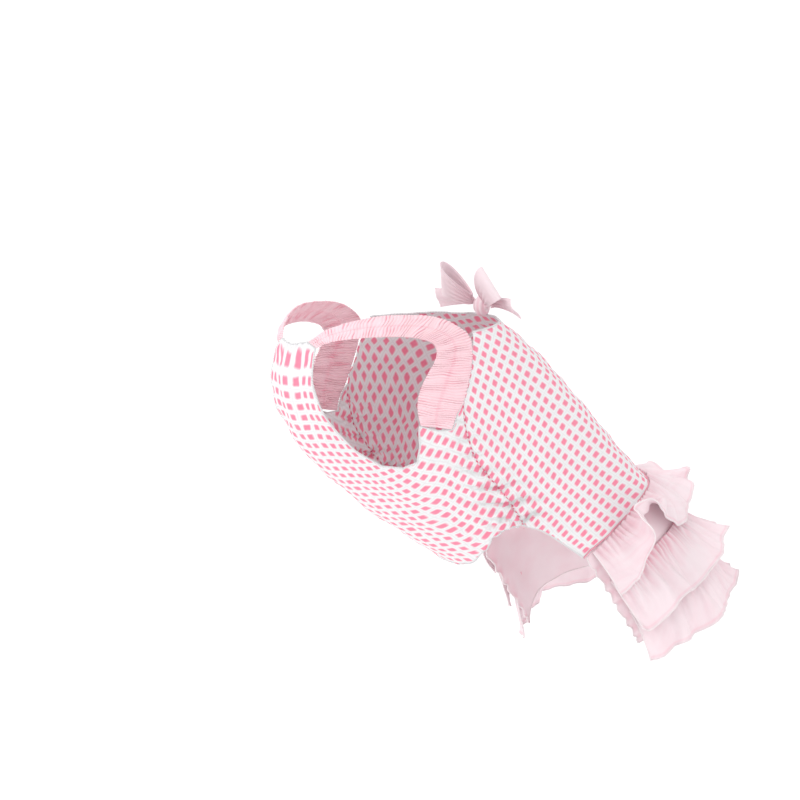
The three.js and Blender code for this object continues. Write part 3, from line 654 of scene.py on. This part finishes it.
def strap(side):
    """Shoulder strap: a band between its outer and its armhole edge, drawn up by elastic thread in fine
    gathers across its length, which a line of stitches pins along its middle."""
    u, v = grid(7 * STRAP_GATHERS, 26)
    end_gap = 2 * SEAM_GAP / BACK_LENGTH
    edge_gap = 2.6 * SEAM_GAP / BODY_WIDTH * 180 / np.pi
    course = lerp(end_gap, 1 - end_gap, u)
    column = {k: track(STRAP_COURSE, "course", k, course) for k in STRAP_COURSE if k != "course"}
    wave = STRAP_GATHERS * u + 0.35 * wander(9 * u, 1.3 * v, 31)
    ridge = 0.5 + 0.5 * np.sin(2 * np.pi * wave)
    strength = np.clip(0.75 + 0.4 * wander(20 * u, 1.1 * v, 32), 0.2, 1)
    stitch = np.exp(-((v - 0.52) / 0.035) ** 2)
    bulge = np.sqrt(np.clip(1 - (2 * v - 1) ** 6, 0, 1))
    gathers = STRAP_GATHER_HEIGHT * ridge * strength * (1 - 0.3 * stitch)
    height = gathers + 0.5 * MM * bulge - 0.25 * MM * stitch
    scallop = 0.5 * np.sin(2 * np.pi * wave) * smoothstep(0.7, 1, v) * strength
    inner = v + 0.03 * scallop
    angle = lerp(column["outer_angle"], column["inner_angle"], inner) + edge_gap * (1 - 2 * v)
    along = lerp(column["outer_along"], column["inner_along"], inner)
    angle = side * angle
    stand = STRAP_STAND - 0.2 * MM + height
    points = cloth_point(along, angle, stand)
    out = body_normal(along, angle)
    # Painted shade in the valleys between the gathers, stronger in random streaks, and a darker line along
    # the stitches
    shade_streaks = smoothstep(0.1, 1.0, wander(30 * u, 1.6 * v, 33))
    deep = np.clip((1 - ridge) ** 2 * (0.15 + 0.75 * shade_streaks) * strength + 0.22 * stitch, 0, 1)
    uv = np.stack([u * 260 * MM, v * 20 * MM], -1)
    name = "strap_left" if side < 0 else "strap_right"
    return cloth(name, points, out, uv, VOILE_THICK, SHIRRED, {"deep": deep})


def skirt_heading(angle):
    """Level direction in which the skirt goes: straight back in the middle and at its front edges, and turned
    out to the side between them."""
    share = np.minimum(np.abs(angle) / SKIRT_EDGE_ANGLE, 1)
    turn = np.radians(SKIRT_SPREAD) * np.sin(np.pi * share) * np.sign(angle)
    return np.stack([np.cos(turn), np.sin(turn), np.zeros_like(turn)], -1)


def skirt_point(angle, down):
    """Panel that carries the tiers: from the end of the back it goes back along its heading and drops."""
    angle, down = np.broadcast_arrays(np.asarray(angle, float), np.asarray(down, float))
    across = np.abs(angle) / SKIRT_EDGE_ANGLE
    along = lerp(BACK_END_MIDDLE, BACK_END_SIDE, across ** BACK_END_CURVE) + SEAM_GAP / 2 / BACK_LENGTH
    reach = SKIRT_REACH * lerp(np.sin(np.pi / 2 * down), SKIRT_SIDE_REACH * down, across)
    drop = SKIRT_DROP * down * lerp(1, SKIRT_SIDE_DROP, across)
    top = body_point(along, angle) + scaled(reach, skirt_heading(angle))
    return top - scaled(drop, np.array([0, 0, 1.0]))


def skirt_frame(angle, down):
    """Unit vectors on the skirt panel: down it, round it and out of it."""
    fall = unit(skirt_point(angle, down + 0.01) - skirt_point(angle, down - 0.01))
    round_ = unit(skirt_point(angle + 1, down) - skirt_point(angle - 1, down))
    return fall, round_, unit(np.cross(fall, round_))


def skirt_base():
    """Panel that carries the tiers; its front edges show beside them and are curled and wavy."""
    u, v = grid(210, 56)
    across = 2 * u - 1
    edge = smoothstep(0.93, 1, np.abs(across))
    wave = np.sin(2 * np.pi * (7 * v + 0.35 * wander(4 * v, 0, 42)))
    angle = -SKIRT_EDGE_ANGLE * across * (1 + 0.008 * edge * wave)
    _, round_, out = skirt_frame(np.clip(angle, -SKIRT_EDGE_ANGLE, SKIRT_EDGE_ANGLE), v)
    flutter = 0.3 * MM * v * wander(angle / 16, 2 * v, 41) + 0.9 * MM * edge * (0.6 + 0.4 * wave)
    points = skirt_point(angle, v) + scaled(VOILE_STAND + flutter, out)
    uv = np.stack([u * 215 * MM, v * 60 * MM], -1)
    # Painted shade: darker towards the sewn top and in the hollows of the wavy front edges
    deep = 0.10 * (1 - v) + 0.25 * edge * (0.5 - 0.5 * wave)
    panel = cloth("skirt_lining_voile", points, out, uv, VOILE_THICK, VOILE, {"deep": deep})
    return panel, points, out


def tier(row):
    """One tier: gathered on along a line of the skirt panel, it bends from there to its hem, which its table
    gives. Small tucks are deepest at the seam and run out into soft creases, and the hem flutters."""
    hem = row["hem"]
    last = len(hem["across"]) - 1
    u, v = grid(640, 40)
    side = np.where(u < 0.5, 1.0, -1.0)
    across = np.interp(np.abs(2 * u - 1) * last, np.arange(last + 1), hem["across"])
    hem_fall, hem_out, hem_fore = (track(hem, "across", column, across) for column in ("fall", "out", "fore"))
    angle = side * TIER_EDGE_ANGLE * across
    fall, round_, out = skirt_frame(angle, row["start"])
    first = row["depth"] * 2 * v * (1 - v)
    second = row["depth"] * v * v
    first_fall = TIER_FIRST_FALL + TIER_FALL_SHARE * hem_fall
    first_out = row["spring"] + TIER_OUT_SHARE * hem_out
    points = skirt_point(angle, row["start"]) + scaled(RUFFLE_WALL + SEAM_GAP + VOILE_STAND, out) \
        + scaled(first * first_fall + second * hem_fall, fall) \
        + scaled(first * first_out + second * hem_out, out) + scaled(second * side * hem_fore, round_)
    lift = unit(np.cross(np.gradient(points, axis=0), -np.gradient(points, axis=1)))
    lift = lift * np.sign(np.sum(lift * out, -1).mean())
    seed = int(100 * row["start"])
    way = np.abs(2 * u - 1) * side * row["tucks"]
    tuck = np.sin(2 * np.pi * (way + 0.45 * wander(way / 5, v, seed)))
    pinned = np.exp(-(v / 0.26) ** 1.5)
    crease = wander(way / 2.6, 0.3 * v, seed + 1)
    flutter = np.sin(2 * np.pi * (0.42 * way + 0.4 * wander(way / 9, v, seed + 2)))
    seam_in = np.exp(-(v / 0.07) ** 2)
    points = points - scaled(SEWN_EDGE_IN * seam_in, out) - scaled(row["tucked_up"] * seam_in, fall)
    tucks = TUCK_HEIGHT * (tuck + seam_in) * pinned
    creases = CREASE_HEIGHT * crease * np.sin(np.pi * np.clip(0.9 * v + 0.1, 0, 1))
    relief = tucks + creases + FLUTTER_HEIGHT * flutter * v ** 3
    points = points + scaled(relief, lift)
    # Painted shade in the mark "deep": darker in the valleys of the tucks, all along the seam, in the valleys
    # of the creases towards the top, and in a line just above the hem cord
    deep = np.clip(row["gather_shade"] * pinned * (0.5 - 0.5 * tuck) + 0.12 * pinned
                   + 0.10 * (0.5 - 0.5 * crease) * (1 - v) + 0.24 * np.exp(-((v - 0.955) / 0.02) ** 2), 0, 1)
    uv = np.stack([u * lerp(row["sewn_edge"], row["hem_edge"], v), v * row["width"]], -1)
    name = row["node"].replace("skirt_", "") + "_voile"
    return cloth(name, points, lift, uv, VOILE_THICK, VOILE, {"deep": deep}), points, lift


def bow_middle():
    return np.array([-BOW_FORWARD, 0, BOW_SET_UP])


def bow_knot():
    """Knot: a short band of cloth wound round the bow's waist, with pleats that run round it."""
    u, v = grid(64, 40)
    turn, tilt = 2 * np.pi * u[:, :-1], np.pi * v[:, :-1]
    pleat = 1 + 0.05 * np.cos(9 * tilt) + 0.02 * wander(3 * v[:, :-1], 3 * u[:, :-1], 51)
    ball = np.stack([np.sin(tilt) * np.cos(turn), np.cos(tilt), np.sin(tilt) * np.sin(turn)], -1)
    shape = ball * np.array([0.8, 1, 1.15]) * KNOT_RADIUS
    points = bow_middle() + scaled(pleat, shape)
    uv = np.stack([u[:, :-1] * 20 * MM, v[:, :-1] * 14 * MM], -1)
    faces = grid_faces(*points.shape[:2], looped=True)
    # Painted shade: deeper in the valleys between the pleats, and a little deeper all over
    deep = 0.25 + 0.25 * np.cos(9 * tilt + np.pi)
    piece = mesh_object("bow_knot_voile", points.reshape(-1, 3), faces, uv.reshape(-1, 2), {"deep": deep})
    piece.data.materials.append(BOW_VOILE)
    weld = piece.modifiers.new("poles", "WELD")
    weld.merge_threshold = 0.001 * MM
    return piece


def bow_loop(side):
    """Loop: a band that goes out from the knot, turns and comes back, pleated at the knot."""
    u, v = grid(180, 48)
    u, v = u[:, :-1], v[:, :-1]
    out, tall = unit(np.array([-0.45, 0.73 * side, 0.56])), unit(np.array([-0.38, -0.36 * side, 0.85]))
    thick = unit(np.cross(out, tall))
    turn = 2 * np.pi * u
    reach = 0.5 - 0.5 * np.cos(turn)
    start = KNOT_RADIUS + SEAM_GAP + 1.0 * MM
    pleats = 0.5 * MM * np.cos(2 * np.pi * 5 * v) * (1 - reach) ** 1.5 * np.sign(np.sin(turn) + 1e-9)
    puff = LOOP_PUFF * np.sin(turn) * (0.35 + 0.65 * reach) + pleats
    height = LOOP_HEIGHT * lerp(0.3, 1, reach ** 0.8) * (v - 0.5)
    way_out = scaled(start + (LOOP_LENGTH - start) * reach, out)
    points = bow_middle() + way_out + scaled(puff, thick) + scaled(height, tall)
    outward = scaled(np.sin(turn), thick) - scaled(np.cos(turn), out)
    # Painted shade: darker towards the knot, where the loop is pleated and drawn in
    deep = 0.5 * (1 - reach) ** 2
    uv = np.stack([u * 60 * MM, v * LOOP_HEIGHT], -1)
    name = "bow_loop_left_voile" if side < 0 else "bow_loop_right_voile"
    return cloth(name, points, outward, uv, VOILE_THICK, BOW_VOILE, {"deep": deep}, looped=True)


def bow_tail(side):
    """Tail: a flat end of the band under the loop, rippled, pleated at the knot."""
    u, v = grid(80, 40)
    out, wide = unit(np.array([-0.48, 0.88 * side, -0.16])), unit(np.array([0.45, 0.15 * side, -0.88]))
    thick = unit(np.cross(out, wide)) * -side
    width = TAIL_WIDTH * lerp(0.35, 1, u) * (v - 0.5)
    pleats = 0.55 * MM * np.cos(2 * np.pi * 4 * v) * (1 - u) ** 1.2
    ripple = 0.9 * MM * u * np.sin(2 * np.pi * (v + 0.4 * u)) + pleats
    start = 0.92 * KNOT_RADIUS + SEAM_GAP
    back = ripple + TAIL_SETBACK * (0.3 + 0.7 * np.sqrt(u))
    way_out = scaled(lerp(start, TAIL_LENGTH, u), out)
    points = bow_middle() + way_out + scaled(width, wide) + scaled(back, thick)
    uv = np.stack([u * 30 * MM, v * TAIL_WIDTH], -1)
    name = "bow_tail_left_voile" if side < 0 else "bow_tail_right_voile"
    # Painted shade in the mark "deep": darker towards the knot
    return cloth(name, points, thick, uv, VOILE_THICK, BOW_VOILE, {"deep": 0.4 * (1 - u) ** 2})


def own(piece, node):
    """The piece moves with the dress and, where a node is given, stands for that solid, which is hidden."""
    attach(piece, "root")
    if node:
        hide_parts(node)
    return piece


def trim(name, edge, side, radius=HEM_RADIUS, material=HEM_THREAD):
    """Rolled hem or binding: a thin overlocked cord along the edge of a sheet."""
    return own(tube(name, edge, side, radius, material), None)


def free_edge(values):
    """Values of a sheet's grid along its free edge: down one side, along the last row and up the other."""
    return np.concatenate([values[:, 0], values[-1, 1:-1], values[::-1, -1]])


back, back_points, back_out = back_panel()
own(back, "back_panel")
belly, belly_points, belly_out = belly_panel()
own(belly, "belly_panel")
back_trim = [trim("neck_binding", back_points[0], back_out[0], WIDE_BINDING_RADIUS, WHITE_THREAD)]
skirt_line = back_points[-1] + scaled(PIPING_STAND, back_out[-1])
back_trim.append(trim("skirt_seam_piping", skirt_line, back_out[-1], BINDING_RADIUS, PINK_THREAD))
arch = int(SEAM_END / BACK_END_SIDE * (len(back_points) - 1))
seam = int(SEAM_START / BACK_END_SIDE * (len(back_points) - 1))
for column, label in ((0, "right"), (-1, "left")):
    edge, side = back_points[:, column], back_out[:, column]
    back_trim.append(trim("thigh_binding_" + label, edge[arch:], side[arch:], BINDING_RADIUS, WHITE_THREAD))
    back_trim.append(trim("side_seam_" + label, edge[seam:arch], side[seam:arch], WIDE_BINDING_RADIUS,
                          PUCKERED))
belly_trim = [trim("belly_hem_binding", belly_points[-1], belly_out[-1], BINDING_RADIUS, WHITE_THREAD),
              trim("armhole_binding", belly_points[0], belly_out[0], BINDING_RADIUS, WHITE_THREAD)]
for side, label in ((-1, "left"), (1, "right")):
    own(strap(side), "shoulder_strap_" + label)
base, base_points, base_out = skirt_base()
own(base, "skirt_base")
base_hem = trim("skirt_lining_hem", free_edge(base_points), free_edge(base_out))
for row in TIERS:
    piece, points, lift = tier(row)
    own(piece, row["node"])
    hem_name = piece.name.replace("voile", "hem")
    hem = trim(hem_name, free_edge(points), free_edge(lift))
own(bow_knot(), "bow_knot")
for side, label in ((-1, "left"), (1, "right")):
    loop = own(bow_loop(side), "bow_loop_" + label)
    tail = own(bow_tail(side), "bow_tail_" + label)


def stage_floor():
    """Plain white floor that glows a little, well under the dress, which is held up as on a dog."""
    mesh = bpy.data.meshes.new("floor")
    half, level = 14.0, -0.225
    mesh.from_pydata([(-half, -half, level), (half, -half, level), (half, half, level), (-half, half, level)],
                     [], [(0, 1, 2, 3)])
    floor = bpy.data.objects.new("floor", mesh)
    bpy.context.scene.collection.objects.link(floor)
    material = blank_material("matt_white_paper")
    shader = add(material, "BsdfPrincipled", Base_Color=linear("FAFAFA"), Roughness=0.9)
    shader.inputs["Emission Color"].default_value = (1, 1, 1, 1)
    shader.inputs["Emission Strength"].default_value = 0.14
    add(material, "OutputMaterial", Surface=shader.outputs[0])
    mesh.materials.append(material)


def area_light(name, place, target, size, power):
    light = bpy.data.lights.new(name, "AREA")
    light.size = size
    light.energy = power
    lamp = bpy.data.objects.new(name, light)
    lamp.location = place
    lamp.rotation_mode = "QUATERNION"
    direction = np.array(target) - np.array(place)
    lamp.rotation_quaternion = Vector(direction).to_track_quat("-Z", "Y")
    bpy.context.scene.collection.objects.link(lamp)


def camera_and_light():
    """Camera at the photograph's angle, far off with a long lens, and soft light from a white room, from
    above on the left and, weaker, from the right."""
    turn, rise = np.radians(41), np.radians(8)
    right = np.array([np.cos(turn), -np.sin(turn), 0])
    up = np.array([np.sin(turn) * np.sin(rise), np.cos(turn) * np.sin(rise), np.cos(rise)])
    look = np.cross(up, right)
    width, distance, sensor = 0.400, 6.0, 36.0
    target = -right * 42 * MM - up * 42 * MM
    camera = bpy.data.cameras.new("camera")
    camera.sensor_width = sensor
    camera.lens = sensor * distance / width
    camera.clip_start, camera.clip_end = 0.05, 100
    eye = bpy.data.objects.new("camera", camera)
    eye.location = target - look * distance
    eye.rotation_mode = "QUATERNION"
    eye.rotation_quaternion = Vector(look).to_track_quat("-Z", "Y")
    bpy.context.scene.collection.objects.link(eye)
    bpy.context.scene.camera = eye
    world = bpy.data.worlds.new("white_room")
    world.use_nodes = True
    world.node_tree.nodes["Background"].inputs["Color"].default_value = (1, 1, 1, 1)
    world.node_tree.nodes["Background"].inputs["Strength"].default_value = 0.98
    bpy.context.scene.world = world
    area_light("key", target - look * 0.9 - right * 1.0 + up * 1.3, target, size=0.8, power=12)
    area_light("fill", target - look * 1.0 + right * 1.3 + up * 0.5, target, size=1.2, power=2)
    bpy.context.scene.view_settings.view_transform = "Standard"


stage_floor()
camera_and_light()
